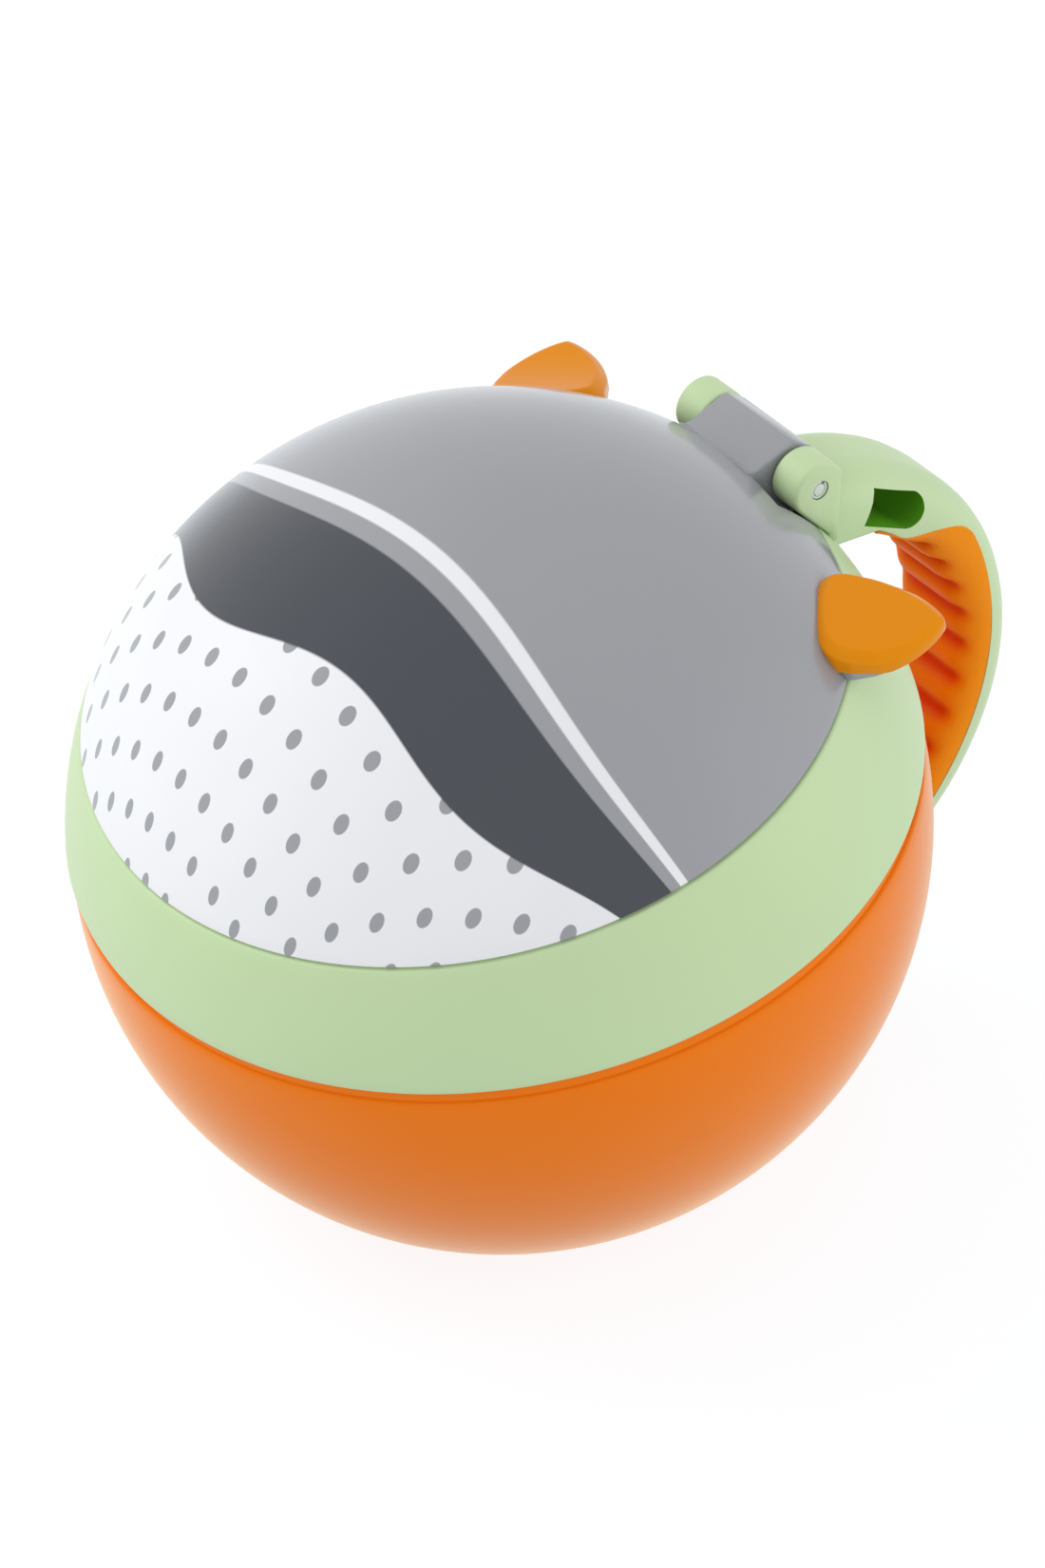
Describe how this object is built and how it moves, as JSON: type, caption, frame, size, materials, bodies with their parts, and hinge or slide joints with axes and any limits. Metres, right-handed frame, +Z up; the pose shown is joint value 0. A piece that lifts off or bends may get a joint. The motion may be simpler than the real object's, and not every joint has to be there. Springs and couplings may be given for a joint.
{
  "type": "toddler snack container",
  "caption": "Ball-shaped toddler snack cup: hinged dome lid with two ear lugs, twist-off collar with soft finger flaps, ribbed carrying handle and flat-based bowl.",
  "frame": {"origin": "centre of the flat base's resting face, on the table, straight below the ball's centre", "axes": "+Z up, -Y the front where the lid opens, +Y the back where hinge and handle are, +X the container's left seen from behind"},
  "size_m": [0.095, 0.1166, 0.0907],
  "materials": {
    "bowl_plastic": "glossy moulded polypropylene, orange",
    "collar_plastic": "satin moulded polypropylene, pale green",
    "grip_rubber": "soft-touch overmoulded elastomer, orange",
    "insert_rubber": "soft thermoplastic elastomer, orange",
    "lid_plastic": "glossy moulded polypropylene, mid grey with a printed wave pattern",
    "ear_plastic": "glossy moulded plastic, amber",
    "pin_steel": "drawn steel wire"
  },
  "bodies": {
    "bowl": {"bowl": "bowl_plastic"},
    "collar": {"collar": "collar_plastic", "handle": "collar_plastic", "handle_grip": "grip_rubber", "flap_ring": "insert_rubber", "hinge_pin": "pin_steel"},
    "lid": {"lid_shell": "lid_plastic", "ear_cap_left": "ear_plastic", "ear_cap_right": "ear_plastic"},
    "flap_1": {"flap_1": "insert_rubber"},
    "flap_2": {"flap_2": "insert_rubber"},
    "flap_3": {"flap_3": "insert_rubber"},
    "flap_4": {"flap_4": "insert_rubber"},
    "flap_5": {"flap_5": "insert_rubber"},
    "flap_6": {"flap_6": "insert_rubber"}
  },
  "joints": [
    {"name": "collar_turn", "type": "hinge", "parent": "bowl", "child": "collar", "pos_m": [0, 0, 0.04266], "axis": [0, -0.1736, 0.9848], "range_deg": [0, 45]},
    {"name": "lid_hinge", "type": "hinge", "parent": "collar", "child": "lid", "pos_m": [0, 0.0346, 0.07898], "axis": [-1, 0, 0], "range_deg": [0, 110]},
    {"name": "flap_1_bend", "type": "hinge", "parent": "collar", "child": "flap_1", "pos_m": [0.029, -0.00243, 0.05645], "axis": [0, -0.9848, -0.1736], "range_deg": [0, 60], "stiffness_Nm_per_rad": 0.004},
    {"name": "flap_2_bend", "type": "hinge", "parent": "collar", "child": "flap_2", "pos_m": [0.0145, 0.0223, 0.06081], "axis": [0.866, -0.4924, -0.0868], "range_deg": [0, 60], "stiffness_Nm_per_rad": 0.004},
    {"name": "flap_3_bend", "type": "hinge", "parent": "collar", "child": "flap_3", "pos_m": [-0.0145, 0.0223, 0.06081], "axis": [0.866, 0.4924, 0.0868], "range_deg": [0, 60], "stiffness_Nm_per_rad": 0.004},
    {"name": "flap_4_bend", "type": "hinge", "parent": "collar", "child": "flap_4", "pos_m": [-0.029, -0.00243, 0.05645], "axis": [0, 0.9848, 0.1736], "range_deg": [0, 60], "stiffness_Nm_per_rad": 0.004},
    {"name": "flap_5_bend", "type": "hinge", "parent": "collar", "child": "flap_5", "pos_m": [-0.0145, -0.02716, 0.05209], "axis": [-0.866, 0.4924, 0.0868], "range_deg": [0, 60], "stiffness_Nm_per_rad": 0.004},
    {"name": "flap_6_bend", "type": "hinge", "parent": "collar", "child": "flap_6", "pos_m": [0.0145, -0.02716, 0.05209], "axis": [-0.866, -0.4924, -0.0868], "range_deg": [0, 60], "stiffness_Nm_per_rad": 0.004}
  ]
}
